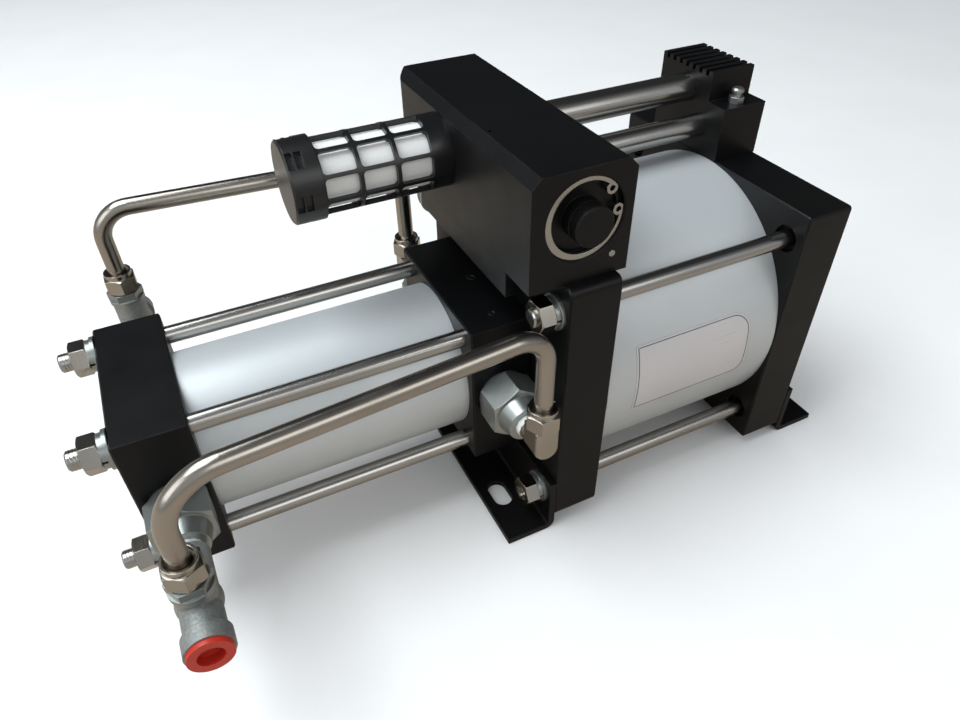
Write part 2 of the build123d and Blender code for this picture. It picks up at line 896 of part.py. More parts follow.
# Piston rod: the pistons seat on its shoulders and are held by a nut at each end
shoulder_left = boost_piston_x + boost_piston_length
shoulder_right = drive_piston_x
nut_left = boost_piston_x
nut_right = drive_piston_x + drive_piston_length
rod_left = nut_left - piston_nut_height - rod_end_length
rod_right = nut_right + piston_nut_height + rod_end_length
with BuildPart() as piston_rod:
    disc(cross_plane(shoulder_left), piston_rod_radius, shoulder_right - shoulder_left)
    disc(cross_plane(rod_left), piston_thread_radius, shoulder_left - rod_left)
    disc(cross_plane(shoulder_right), piston_thread_radius, rod_right - shoulder_right)
    rod_tips = edges().group_by(Axis.X)[0] + edges().group_by(Axis.X)[-1]
    chamfer(rod_tips, length=piston_chamfer)
piston_rod.part.label = "piston_rod"
export_step(piston_rod.part, "parts/piston_rod.step")

piston_nut_parts = []
for nut_x in (nut_left - piston_nut_height, nut_right):
    with BuildPart() as piston_nut:
        hex_nut(
            cross_plane(nut_x),
            piston_nut_across_flats,
            piston_nut_height,
            piston_thread_radius + seat_gap,
        )
    piston_nut_parts.append(piston_nut.part)
with BuildPart() as piston_nuts:
    add(piston_nut_parts)
piston_nuts.part.label = "piston_nuts"
export_step(piston_nuts.part, "parts/piston_nuts.step")

# Pilot valves: a guide, a sprung stem that reaches into the air chamber, and its spring
pilot_faces = {"head": (head_face, 1), "cap": (cap_face, -1)}
with BuildPart() as pilot_guides:
    for face_x, direction in pilot_faces.values():
        ring(
            pilot_plane(face_x, direction),
            pilot_guide_radius,
            stem_radius + running_gap,
            -pilot_guide_length,
        )
pilot_guides.part.label = "pilot_guides"
export_step(pilot_guides.part, "parts/pilot_guides.step")

collar_top = pilot_guide_length + face_gap
for end, (face_x, direction) in pilot_faces.items():
    face = pilot_plane(face_x, direction)
    with BuildPart() as pilot_stem:
        disc(face.offset(-collar_top), stem_radius, collar_top + stem_protrusion)
        disc(face.offset(-collar_top), stem_collar_radius, -stem_collar)
        disc(face.offset(-collar_top - stem_collar), stem_tail_radius, -stem_tail)
    pilot_stem.part.label = f"{end}_pilot_stem"
    export_step(pilot_stem.part, f"parts/{end}_pilot_stem.step")
    spring_length = pilot_depth - collar_top - stem_collar - 2 * face_gap
    with BuildPart() as pilot_spring:
        coil_spring(
            face.offset(face_gap - pilot_depth),
            spring_length,
            pilot_spring_radius,
            spring_turns,
        )
    pilot_spring.part.label = f"{end}_pilot_spring"
    export_step(pilot_spring.part, f"parts/{end}_pilot_spring.step")


# Spool valve
def valve_end_plane(side, depth):
    """Plane on the spool's axis, at a depth below the valve body's front or rear face."""
    distance = valve_front if side < 0 else valve_rear
    return side_plane(side, valve_bore_x, distance - depth, valve_bore_z)


gallery_stations = [
    valve_middle + gallery_pitch * (i - (gallery_count - 1) / 2) for i in range(gallery_count)
]
with BuildPart() as valve_body:
    with BuildSketch(Plane.XZ.offset(valve_front)):
        with BuildLine():
            Polyline(
                (valve_x0, block_top),
                (valve_x1, block_top),
                (valve_x1, block_top + valve_height - valve_chamfer),
                (valve_x1 - valve_chamfer, block_top + valve_height),
                (valve_x0 + valve_chamfer, block_top + valve_height),
                (valve_x0, block_top + valve_height - valve_chamfer),
                close=True,
            )
        make_face()
    extrude(amount=-valve_front - valve_rear)
    rear_left = edges().filter_by(Axis.Z).group_by(Axis.X)[0].sort_by(Axis.Y)[-1]
    fillet(rear_left, radius=valve_corner_radius)
    disc(
        valve_end_plane(-1, 0),
        spool_radius + running_gap,
        -valve_front - valve_rear,
        Mode.SUBTRACT,
    )
    for side in (-1, 1):
        disc(valve_end_plane(side, 0), plug_radius, -plug_depth, Mode.SUBTRACT)
        disc(
            valve_end_plane(side, circlip_depth),
            plug_radius + circlip_groove,
            -circlip_thickness,
            Mode.SUBTRACT,
        )
    mouth_edges = edges().filter_by(GeomType.CIRCLE).sort_by(Axis.Y)
    chamfer([mouth_edges[0], mouth_edges[-1]], length=plug_mouth_chamfer)
    for gallery_y in gallery_stations:
        disc(
            side_plane(-1, valve_bore_x, gallery_width / 2 - gallery_y, valve_bore_z),
            spool_radius + gallery_depth,
            -gallery_width,
            Mode.SUBTRACT,
        )
    disc(
        up_plane(head_port_x, head_port_y, block_top),
        air_port_radius,
        valve_bore_height - spool_radius / 2,
        Mode.SUBTRACT,
    )
    muffler_port = (valve_x0, muffler_y, block_top + muffler_height)
    disc(
        Plane(origin=muffler_port, z_dir=(1, 0, 0)),
        muffler_thread_radius + seat_gap,
        valve_bore_x - spool_radius / 2 - valve_x0,
        Mode.SUBTRACT,
    )
    for outer_radius, tube_y, tube_height in (
        (lower_tube_radius, lower_tube_y, lower_tube_height),
        (upper_tube_radius, upper_tube_y, upper_tube_height),
    ):
        with Locations(
            Plane(origin=(valve_x1, tube_y, block_top + tube_height), z_dir=(1, 0, 0))
        ):
            Hole(outer_radius + seat_gap, depth=air_tube_socket)
            Hole(outer_radius - air_tube_wall, depth=valve_x1 - valve_bore_x)
    for side in (-1, 1):
        disc(
            up_plane(valve_x0 + bar_screw_x, side * bar_screw_y, block_top),
            bar_screw_radius + seat_gap,
            bar_screw_grip + port_floor,
            Mode.SUBTRACT,
        )
valve_body.part.label = "valve_body"
export_step(valve_body.part, "parts/valve_body.step")

spool_length = valve_front + valve_rear - 2 * plug_depth - spool_travel - 2 * face_gap
spool_start = plug_depth - valve_front + face_gap
land_stations = [
    spool_start + land_width / 2 + i * (spool_length - land_width) / gallery_count
    for i in range(gallery_count + 1)
]
with BuildPart() as spool:
    spool_end = side_plane(-1, valve_bore_x, -spool_start, valve_bore_z)
    disc(spool_end, spool_shaft_radius, -spool_length)
    for land_y in land_stations:
        disc(
            side_plane(-1, valve_bore_x, land_width / 2 - land_y, valve_bore_z),
            spool_radius,
            -land_width,
        )
spool.part.label = "spool"
export_step(spool.part, "parts/spool.step")

plug_top = circlip_depth + circlip_thickness
with BuildPart() as valve_end_plugs:
    for side in (-1, 1):
        disc(valve_end_plane(side, plug_top), plug_radius - seat_gap, -plug_length)
        disc(
            valve_end_plane(side, plug_top),
            plug_radius - plug_rim,
            -plug_floor,
            Mode.SUBTRACT,
        )
        disc(
            valve_end_plane(side, plug_top + plug_floor),
            plug_knob_radius,
            plug_top + plug_floor + plug_knob_reach,
        )
    chamfer(edges().group_by(Axis.Y)[0], length=plug_mouth_chamfer)
    chamfer(edges().group_by(Axis.Y)[-1], length=plug_mouth_chamfer)
    for side in (-1, 1):
        ring(
            valve_end_plane(side, -plug_groove_reach),
            plug_knob_radius + face_gap,
            plug_knob_radius - plug_groove_depth,
            plug_groove_width,
            Mode.SUBTRACT,
        )
valve_end_plugs.part.label = "valve_end_plugs"
export_step(valve_end_plugs.part, "parts/valve_end_plugs.step")

circlip_reach = 2 * plug_radius
circlip_ends = [radians(circlip_direction + turn * circlip_opening / 2) for turn in (-1, 1)]
circlip_shift = (
    circlip_taper * cos(radians(circlip_direction)),
    circlip_taper * sin(radians(circlip_direction)),
)
with BuildPart() as valve_circlips:
    for side in (-1, 1):
        with BuildSketch(valve_end_plane(side, circlip_depth)) as circlip:
            Circle(plug_radius + circlip_groove - seat_gap)
            with Locations(circlip_shift):
                Circle(circlip_inner_radius, mode=Mode.SUBTRACT)
            with BuildLine():
                Polyline(
                    (0, 0),
                    *[(circlip_reach * cos(end), circlip_reach * sin(end)) for end in circlip_ends],
                    close=True,
                )
            make_face(mode=Mode.SUBTRACT)
            with PolarLocations(
                circlip_inner_radius,
                2,
                start_angle=circlip_direction - circlip_opening / 2,
                angular_range=circlip_opening,
                endpoint=True,
            ):
                Circle(circlip_lug_radius)
                Circle(circlip_hole_radius, mode=Mode.SUBTRACT)
        extrude(circlip.sketch, amount=-circlip_thickness + face_gap)
valve_circlips.part.label = "valve_circlips"
export_step(valve_circlips.part, "parts/valve_circlips.step")

# Manifold bar: closes the valve's overhang against the drive head's left face
bar_bottom = block_top - bar_height
with BuildPart() as manifold_bar:
    with BuildSketch(Plane.XY.offset(bar_bottom)):
        with Locations((valve_x0 + valve_overhang / 2, 0)):
            Rectangle(valve_overhang, 2 * bar_half_width)
    extrude(amount=bar_height)
    for side in (-1, 1):
        screw_place = up_plane(valve_x0 + bar_screw_x, side * bar_screw_y, bar_bottom)
        disc(screw_place, bar_screw_radius + bolt_gap, bar_height, Mode.SUBTRACT)
        disc(
            screw_place,
            bar_screw_head_radius + bolt_gap,
            bar_screw_head,
            Mode.SUBTRACT,
        )
manifold_bar.part.label = "manifold_bar"
export_step(manifold_bar.part, "parts/manifold_bar.step")

with BuildPart() as manifold_screws:
    for side in (-1, 1):
        head_top = up_plane(
            valve_x0 + bar_screw_x, side * bar_screw_y, bar_bottom + bar_screw_head
        )
        disc(head_top, bar_screw_head_radius, -bar_screw_head)
        disc(head_top, bar_screw_radius, bar_height - bar_screw_head + bar_screw_grip)
        hexagon(
            head_top.offset(-bar_screw_head),
            bar_screw_head_radius,
            bar_screw_head / 2,
            Mode.SUBTRACT,
        )
manifold_screws.part.label = "manifold_screws"
export_step(manifold_screws.part, "parts/manifold_screws.step")

# Exhaust muffler
muffler_z = block_top + muffler_height


def muffler_plane(distance):
    """Plane across the muffler, at a distance from the valve's left face, facing outwards."""
    return Plane(
        origin=(valve_x0 - distance, muffler_y, muffler_z), x_dir=(0, -1, 0), z_dir=(-1, 0, 0)
    )


window_zone = muffler_length - muffler_cap_length - muffler_collar - 2 * muffler_window_margin
window_pitch = (window_zone + muffler_rib) / muffler_columns
window_length = window_pitch - muffler_rib
window_width = 2 * muffler_radius * sin(radians(180 / muffler_rows)) - muffler_rib
window_middle = muffler_collar + muffler_window_margin + window_zone / 2
cage_end = muffler_length - muffler_cap_floor
with BuildPart() as muffler_cage:
    ring(muffler_plane(0), muffler_radius, muffler_radius - muffler_wall, cage_end)
    disc(muffler_plane(0), muffler_radius, muffler_collar)
    disc(muffler_plane(0), muffler_thread_radius, -muffler_thread_length)
    disc(
        muffler_plane(-muffler_thread_length),
        muffler_bore_radius,
        muffler_thread_length + muffler_collar,
        Mode.SUBTRACT,
    )
    for row in range(muffler_rows):
        angle = radians(muffler_first_row + 360 / muffler_rows * row)
        outwards = Vector(0, cos(angle), sin(angle))
        centre = Vector(valve_x0 - window_middle, muffler_y, muffler_z)
        tangent_plane = Plane(
            origin=centre + outwards * muffler_radius, x_dir=(1, 0, 0), z_dir=outwards
        )
        with BuildSketch(tangent_plane) as windows:
            with GridLocations(window_pitch, 0, muffler_columns, 1):
                RectangleRounded(window_length, window_width, muffler_window_corner)
        extrude(windows.sketch, amount=-2 * muffler_wall, mode=Mode.SUBTRACT)
muffler_cage.part.label = "muffler_cage"
export_step(muffler_cage.part, "parts/muffler_cage.step")

element_radius = muffler_radius - muffler_wall - piston_gap
with BuildPart() as muffler_element:
    ring(
        muffler_plane(muffler_collar),
        element_radius,
        element_radius - muffler_element_wall,
        cage_end - muffler_collar,
    )
muffler_element.part.label = "muffler_element"
export_step(muffler_element.part, "parts/muffler_element.step")

with BuildPart() as muffler_end_cap:
    disc(
        muffler_plane(muffler_length - muffler_cap_length),
        muffler_cap_radius,
        muffler_cap_length,
    )
    chamfer(edges().group_by(Axis.X)[0], length=piston_chamfer)
    disc(
        muffler_plane(muffler_length - muffler_cap_length),
        muffler_radius + seat_gap,
        muffler_cap_length - muffler_cap_floor,
        Mode.SUBTRACT,
    )
    slot_middle = muffler_length - muffler_slot_margin - muffler_slot_length / 2
    for slot in range(muffler_slots):
        angle = radians(muffler_first_slot + 360 / muffler_slots * slot)
        outwards = Vector(0, cos(angle), sin(angle))
        centre = Vector(valve_x0 - slot_middle, muffler_y, muffler_z)
        slot_plane = Plane(
            origin=centre + outwards * (muffler_cap_radius + muffler_slot_depth),
            x_dir=(1, 0, 0),
            z_dir=outwards,
        )
        with BuildSketch(slot_plane) as cap_slot:
            Rectangle(muffler_slot_length, muffler_slot_width)
            Rectangle(muffler_slot_rib, muffler_slot_width, mode=Mode.SUBTRACT)
        extrude(cap_slot.sketch, amount=-2 * muffler_slot_depth, mode=Mode.SUBTRACT)
muffler_end_cap.part.label = "muffler_end_cap"
export_step(muffler_end_cap.part, "parts/muffler_end_cap.step")

# Air tubes from the valve to the port block
tube_start = valve_x1 - air_tube_socket
tube_length = cap_x0 - valve_x1 + 2 * air_tube_socket


def air_tube_plane(x, y, height):
    """Plane on an air tube's axis, facing +X."""
    return Plane(origin=(x, y, block_top + height), z_dir=(1, 0, 0))


with BuildPart() as lower_transfer_tube:
    ring(
        air_tube_plane(tube_start, lower_tube_y, lower_tube_height),
        lower_tube_radius,
        lower_tube_radius - air_tube_wall,
        tube_length,
    )
lower_transfer_tube.part.label = "lower_transfer_tube"
export_step(lower_transfer_tube.part, "parts/lower_transfer_tube.step")

with BuildPart() as upper_transfer_tube:
    ring(
        air_tube_plane(tube_start, upper_tube_y, upper_tube_height),
        upper_tube_radius,
        upper_tube_radius - air_tube_wall,
        tube_length,
    )
upper_transfer_tube.part.label = "upper_transfer_tube"
export_step(upper_transfer_tube.part, "parts/upper_transfer_tube.step")

# Port block: a low front step with the vent and a finned rear part with the air inlet
fin_pitch = (port_block_rear - port_step_rear + fin_gap) / fin_count
with BuildPart() as port_block:
    with BuildSketch(cross_plane(cap_x0)):
        with Locations((0, drive_block / 2)):
            with BuildLine():
                Polyline(
                    (port_step_front, drive_block / 2),
                    (port_block_rear, drive_block / 2),
                    (port_block_rear, drive_block / 2 + port_block_height),
                    (port_step_rear, drive_block / 2 + port_block_height),
                    (port_step_rear, drive_block / 2 + port_step_height),
                    (port_step_front, drive_block / 2 + port_step_height),
                    close=True,
                )
            make_face()
        with Locations(
            *[
                (
                    port_step_rear + (i + 1) * fin_pitch - fin_gap / 2,
                    drive_block / 2 + port_block_height - fin_depth / 2,
                )
                for i in range(fin_count - 1)
            ]
        ):
            Rectangle(fin_gap, fin_depth, mode=Mode.SUBTRACT)
    extrude(amount=drive_cap_length)
    lower_socket = air_tube_plane(cap_x0, lower_tube_y, lower_tube_height)
    disc(lower_socket, lower_tube_radius + seat_gap, air_tube_socket, Mode.SUBTRACT)
    lower_bore = lower_tube_radius - air_tube_wall
    disc(lower_socket, lower_bore, cap_port_x - cap_x0, Mode.SUBTRACT)
    lower_corner = up_plane(cap_port_x, lower_tube_y, block_top)
    disc(lower_corner, lower_bore, lower_tube_height, Mode.SUBTRACT)
    upper_socket = air_tube_plane(cap_x0, upper_tube_y, upper_tube_height)
    disc(upper_socket, upper_tube_radius + seat_gap, air_tube_socket, Mode.SUBTRACT)
    disc(upper_socket, upper_tube_radius - air_tube_wall, drive_cap_length, Mode.SUBTRACT)
    with Locations(air_tube_plane(cap_x1, upper_tube_y, upper_tube_height)):
        Hole(air_inlet_radius, depth=air_inlet_depth)
    with Locations(up_plane(cap_x0 + vent_x, vent_y, block_top + port_step_height)):
        Hole(vent_thread_radius + seat_gap, depth=vent_thread + port_floor)
port_block.part.label = "port_block"
export_step(port_block.part, "parts/port_block.step")

with BuildPart() as vent_fitting:
    vent_seat = up_plane(cap_x0 + vent_x, vent_y, block_top + port_step_height)
    hexagon(vent_seat, vent_across_flats, vent_hex)
    disc(vent_seat.offset(vent_hex), vent_neck_radius, vent_neck)
    disc(vent_seat.offset(vent_hex + vent_neck), vent_cap_radius, vent_cap)
    chamfer(edges().group_by(Axis.Z)[-1], length=piston_chamfer)
    disc(vent_seat, vent_thread_radius, -vent_thread)
vent_fitting.part.label = "vent_fitting"
export_step(vent_fitting.part, "parts/vent_fitting.step")

# Check valves: inlet at the rear, outlet at the front, one pair on each block
check_places = {
    "end_outlet": (-1, boost_check_x),
    "end_inlet": (1, boost_check_x),
    "centre_outlet": (-1, centre_check_x),
    "centre_inlet": (1, centre_check_x),
}


def check_plane(side, x, distance):
    """Plane on a check valve's axis, at a distance outside its block's face, facing out."""
    return side_plane(side, x, boost_width / 2 + distance, axis_height)


check_body_parts = []
for side, check_x in check_places.values():
    with BuildPart() as check_body:
        hex_seat = check_plane(side, check_x, check_collar)
        turned_hexagon(hex_seat, check_across_flats, check_hex, turn=30)
        disc(hex_seat, check_collar_radius, -check_collar)
        with BuildSketch(hex_seat.offset(check_hex)) as neck_foot:
            Circle(check_shoulder_radius)
        with BuildSketch(check_plane(side, check_x, check_reach)) as neck_end:
            Circle(check_end_radius)
        loft([neck_foot.sketch, neck_end.sketch])
        disc(check_plane(side, check_x, 0), check_thread_radius, -check_thread)
        disc(
            check_plane(side, check_x, -check_thread),
            check_chamber_radius,
            check_thread + check_chamber_end,
            Mode.SUBTRACT,
        )
        disc(
            check_plane(side, check_x, check_chamber_end),
            check_outlet_radius,
            check_reach - check_chamber_end,
            Mode.SUBTRACT,
        )
        disc(
            check_plane(side, check_x, check_reach),
            fitting_thread_radius,
            -fitting_thread - face_gap,
            Mode.SUBTRACT,
        )
    check_body_parts.append(check_body.part)
with BuildPart() as check_valve_bodies:
    add(check_body_parts)
check_valve_bodies.part.label = "check_valve_bodies"
export_step(check_valve_bodies.part, "parts/check_valve_bodies.step")

with BuildPart() as check_valve_seats:
    for side, check_x in check_places.values():
        ring(
            check_plane(side, check_x, -check_thread),
            check_chamber_radius - seat_gap,
            check_outlet_radius,
            check_seat,
        )
check_valve_seats.part.label = "check_valve_seats"
export_step(check_valve_seats.part, "parts/check_valve_seats.step")

# Every poppet opens towards the front: outlets outwards, inlets inwards
ring_face = check_seat - check_thread
for name, (side, check_x) in check_places.items():
    opens = -side
    closed_at = ring_face if opens > 0 else check_chamber_end
    far_end = check_chamber_end if opens > 0 else ring_face
    disc_start = closed_at + opens * face_gap
    disc_end = disc_start + opens * poppet_disc
    with BuildPart() as poppet:
        disc(
            check_plane(side, check_x, disc_start),
            check_chamber_radius - poppet_gap,
            opens * poppet_disc,
        )
        disc(
            check_plane(side, check_x, disc_end),
            poppet_stem_radius,
            opens * poppet_stem,
        )
    poppet.part.label = f"{name}_poppet"
    export_step(poppet.part, f"parts/{name}_poppet.step")
    spring_length = abs(far_end - disc_end) - 2 * face_gap
    with BuildPart() as poppet_spring:
        coil_spring(
            check_plane(side, check_x, min(far_end, disc_end) + face_gap),
            spring_length,
            check_spring_radius,
            spring_turns,
        )
    poppet_spring.part.label = f"{name}_spring"
    export_step(poppet_spring.part, f"parts/{name}_spring.step")


# Cast tees on the boost end cap's check valves
def tee(side, branch_top):
    """Cast tee with a male end in the check valve, an open port and an upward branch."""
    x = boost_check_x
    thread_start = side_plane(side, x, fitting_start - fitting_thread, axis_height)
    run_start = side_plane(side, x, fitting_start + shown_thread, axis_height)
    run_end = side_plane(side, x, port_end, axis_height)
    middle = up_plane(x, side * tee_axis, axis_height)
    disc(run_start, tee_radius, tee_arm - shown_thread + tee_reach)
    disc(run_end, tee_collar_radius, -tee_collar)
    with Locations(middle):
        Sphere(tee_centre_radius)
    disc(middle, tee_radius, branch_top)
    disc(
        middle.offset(branch_top),
        tee_centre_radius,
        tee_centre_radius,
        Mode.SUBTRACT,
    )
    disc(thread_start, fitting_thread_radius - seat_gap, fitting_thread + shown_thread)
    disc(thread_start, check_outlet_radius, fitting_thread + tee_arm, Mode.SUBTRACT)
    disc(run_end, tee_port_radius, -tee_port_depth, Mode.SUBTRACT)
    disc(run_end, tee_bore_radius, -tee_reach, Mode.SUBTRACT)
    disc(middle, tee_port_radius, branch_top, Mode.SUBTRACT)


with BuildPart() as outlet_tee:
    tee(-1, outlet_branch_top)
outlet_tee.part.label = "outlet_tee"
export_step(outlet_tee.part, "parts/outlet_tee.step")

with BuildPart() as inlet_tee:
    tee(1, inlet_branch_top)
inlet_tee.part.label = "inlet_tee"
export_step(inlet_tee.part, "parts/inlet_tee.step")

# Elbows on the centre block's check valves
def elbow_plane(side, height):
    """Level plane on an elbow's upright axis, at a height above the pump axis."""
    return up_plane(centre_check_x, side * elbow_axis, axis_height + height)


with BuildPart() as tube_elbows:
    for side in (-1, 1):
        body_start = elbow_axis - elbow_across_flats / 2
        with BuildSketch(side_plane(side, centre_check_x, body_start, axis_height)) as forging:
            Circle(elbow_across_flats / 2)
            with Locations((0, elbow_top / 2)):
                Rectangle(elbow_across_flats, elbow_top)
        extrude(forging.sketch, amount=elbow_across_flats)
    front_edges = edges().group_by(Axis.Y)[0].sort_by(Axis.Z)[:-1]
    rear_edges = edges().group_by(Axis.Y)[-1].sort_by(Axis.Z)[:-1]
    fillet(front_edges + rear_edges, radius=elbow_edge_radius)
    for side in (-1, 1):
        arm_start = side_plane(side, centre_check_x, fitting_start + shown_thread, axis_height)
        disc(arm_start, elbow_arm_radius, elbow_arm - shown_thread)
        disc(elbow_plane(side, elbow_top), nose_radius, nose_length)
        thread_start = arm_start.offset(-shown_thread - fitting_thread)
        disc(thread_start, fitting_thread_radius - seat_gap, fitting_thread + shown_thread)
        bore_radius = check_outlet_radius - seat_gap
        disc(thread_start, bore_radius, fitting_thread + elbow_arm, Mode.SUBTRACT)
        disc(elbow_plane(side, 0), bore_radius, elbow_top + nose_length, Mode.SUBTRACT)
        disc(
            elbow_plane(side, elbow_top + nose_length),
            tube_radius + seat_gap,
            -tube_socket,
            Mode.SUBTRACT,
        )
tube_elbows.part.label = "tube_elbows"
export_step(tube_elbows.part, "parts/tube_elbows.step")

# Straight connectors in the tees' branches
branch_tops = {-1: outlet_branch_top, 1: inlet_branch_top}
with BuildPart() as tube_connectors:
    for side, branch_top in branch_tops.items():
        seat = up_plane(boost_check_x, side * tee_axis, axis_height + branch_top)
        shoulder = connector_flange + connector_hex
        disc(seat, connector_flange_radius, connector_flange)
        hexagon(seat.offset(connector_flange), connector_across_flats, connector_hex)
        disc(seat.offset(shoulder), nose_radius, nose_length)
        disc(seat, tee_port_radius - seat_gap, -connector_thread)
        disc(
            seat.offset(-connector_thread),
            check_outlet_radius,
            connector_thread + shoulder + nose_length,
            Mode.SUBTRACT,
        )
        disc(
            seat.offset(shoulder + nose_length),
            tube_radius + seat_gap,
            -tube_socket,
            Mode.SUBTRACT,
        )
tube_connectors.part.label = "tube_connectors"
export_step(tube_connectors.part, "parts/tube_connectors.step")

# Where each tube nut's nose starts, and how the nut is turned
nose_seats = [
    (
        up_plane(
            boost_check_x,
            side * tee_axis,
            axis_height + branch_top + connector_flange + connector_hex,
        ),
        30,
    )
    for side, branch_top in branch_tops.items()
] + [(elbow_plane(side, elbow_top), 0) for side in (-1, 1)]
tube_nut_parts = []
for nose_seat, nut_turn in nose_seats:
    with BuildPart() as tube_nut:
        nut_plane = nose_seat.offset(tube_nut_gap)
        hex_height = tube_nut_height - tube_nut_collar
        turned_hexagon(nut_plane, tube_nut_across_flats, hex_height, turn=nut_turn)
        disc(nut_plane.offset(hex_height), tube_nut_collar_radius, tube_nut_collar)
        disc(nut_plane, tube_radius + seat_gap, tube_nut_height, Mode.SUBTRACT)
        mouth = edges().group_by(Axis.Z)[-1].sort_by(SortBy.RADIUS)[0]
        chamfer([mouth], length=tube_nut_countersink)
        disc(
            nut_plane,
            nose_radius + seat_gap,
            nose_length - tube_nut_gap + face_gap,
            Mode.SUBTRACT,
        )
    tube_nut_parts.append(tube_nut.part)
with BuildPart() as tube_nuts:
    add(tube_nut_parts)
tube_nuts.part.label = "tube_nuts"
export_step(tube_nuts.part, "parts/tube_nuts.step")


def gas_tube(side, run_height, first_bend, second_bend):
    """Bent tube from a tee's connector up, along the gas cylinder and down to an elbow."""
    socket_depth = nose_length - tube_socket + face_gap
    shoulder = connector_flange + connector_hex
    tee_end = axis_height + branch_tops[side] + shoulder + socket_depth
    elbow_end = axis_height + elbow_top + socket_depth
    run_z = axis_height + run_height
    corners = [
        (boost_check_x, side * tee_axis, tee_end),
        (boost_check_x, side * tee_axis, run_z),
        (centre_check_x, side * elbow_axis, run_z),
        (centre_check_x, side * elbow_axis, elbow_end),
    ]
    with BuildLine() as route:
        FilletPolyline(*corners, radius=[first_bend, second_bend])
    with BuildSketch(up_plane(*corners[0])) as section:
        Circle(tube_radius)
        Circle(tube_radius - tube_wall, mode=Mode.SUBTRACT)
    sweep(section.sketch, path=route.line)


with BuildPart() as outlet_tube:
    gas_tube(-1, outlet_run_height, outlet_first_bend, outlet_second_bend)
outlet_tube.part.label = "outlet_tube"
export_step(outlet_tube.part, "parts/outlet_tube.step")

with BuildPart() as inlet_tube:
    gas_tube(1, inlet_run_height, inlet_bend, inlet_bend)
inlet_tube.part.label = "inlet_tube"
export_step(inlet_tube.part, "parts/inlet_tube.step")

# Protective plug pushed into the gas outlet
with BuildPart() as outlet_plug:
    outlet_face = side_plane(-1, boost_check_x, port_end, axis_height)
    disc(outlet_face, outlet_plug_radius, outlet_plug_flange)
    disc(outlet_face, tee_port_radius - outlet_plug_gap, -outlet_plug_stub)
    disc(
        outlet_face.offset(outlet_plug_flange),
        outlet_plug_dish,
        -outlet_plug_dish_depth,
        Mode.SUBTRACT,
    )
outlet_plug.part.label = "outlet_plug"
export_step(outlet_plug.part, "parts/outlet_plug.step")
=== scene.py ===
import json
import math

import bmesh
import bpy
from mathutils import Euler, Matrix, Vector


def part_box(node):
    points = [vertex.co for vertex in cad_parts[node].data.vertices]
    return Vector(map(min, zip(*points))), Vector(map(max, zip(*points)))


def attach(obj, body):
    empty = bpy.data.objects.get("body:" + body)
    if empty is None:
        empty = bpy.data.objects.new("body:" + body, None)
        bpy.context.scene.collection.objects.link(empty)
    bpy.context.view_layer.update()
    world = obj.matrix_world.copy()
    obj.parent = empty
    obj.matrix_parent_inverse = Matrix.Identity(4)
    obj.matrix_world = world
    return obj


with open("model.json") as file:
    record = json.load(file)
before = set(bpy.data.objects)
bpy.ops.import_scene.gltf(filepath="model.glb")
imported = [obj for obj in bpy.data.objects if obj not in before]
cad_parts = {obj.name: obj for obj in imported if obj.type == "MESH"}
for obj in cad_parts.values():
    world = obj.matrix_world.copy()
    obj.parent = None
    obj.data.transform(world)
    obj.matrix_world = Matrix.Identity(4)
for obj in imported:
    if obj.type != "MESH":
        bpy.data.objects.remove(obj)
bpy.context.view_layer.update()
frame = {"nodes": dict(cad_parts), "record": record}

# Looks of the air-driven gas booster pump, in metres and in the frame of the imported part:
# X runs along the pump, the front is -Y and the feet stand on Z = 0.

scene = bpy.context.scene

AXIS_Z = 0.094

# Camera, fitted to the photo
CAMERA_PLACE = (-0.1409, -0.3234, 0.3783)
CAMERA_ANGLES = (49.118, 1.0, -25.955)
CAMERA_LENS = 27.288
CAMERA_SENSOR = 36.0
CAMERA_SHIFT = (0.0003, 0.0097)


# Shader helpers

def add(tree, kind, **inputs):
    """Adds one shader node and sets its unlinked inputs by name."""
    made = tree.nodes.new(kind)
    for name, value in inputs.items():
        made.inputs[name].default_value = value
    return made


def noise(tree, coords, scale, detail=4.0, roughness=0.55):
    made = add(tree, "ShaderNodeTexNoise", Scale=scale, Detail=detail, Roughness=roughness)
    tree.links.new(coords, made.inputs["Vector"])
    return made.outputs["Fac"]


def stretched(tree, coords, scale):
    made = tree.nodes.new("ShaderNodeMapping")
    made.inputs["Scale"].default_value = scale
    tree.links.new(coords, made.inputs["Vector"])
    return made.outputs["Vector"]


def remap(tree, value, low, high, to_low, to_high):
    made = tree.nodes.new("ShaderNodeMapRange")
    made.inputs["From Min"].default_value = low
    made.inputs["From Max"].default_value = high
    made.inputs["To Min"].default_value = to_low
    made.inputs["To Max"].default_value = to_high
    tree.links.new(value, made.inputs["Value"])
    return made.outputs["Result"]


def maths(tree, operation, first, second):
    made = tree.nodes.new("ShaderNodeMath")
    made.operation = operation
    for socket, value in zip(made.inputs, (first, second)):
        if isinstance(value, (int, float)):
            socket.default_value = value
        else:
            tree.links.new(value, socket)
    return made.outputs["Value"]


def blend_colour(tree, factor, first, second):
    made = tree.nodes.new("ShaderNodeMix")
    made.data_type = "RGBA"
    tree.links.new(factor, made.inputs[0])
    for socket, value in ((made.inputs[6], first), (made.inputs[7], second)):
        if isinstance(value, tuple):
            socket.default_value = (*value, 1.0)
        else:
            tree.links.new(value, socket)
    return made.outputs[2]


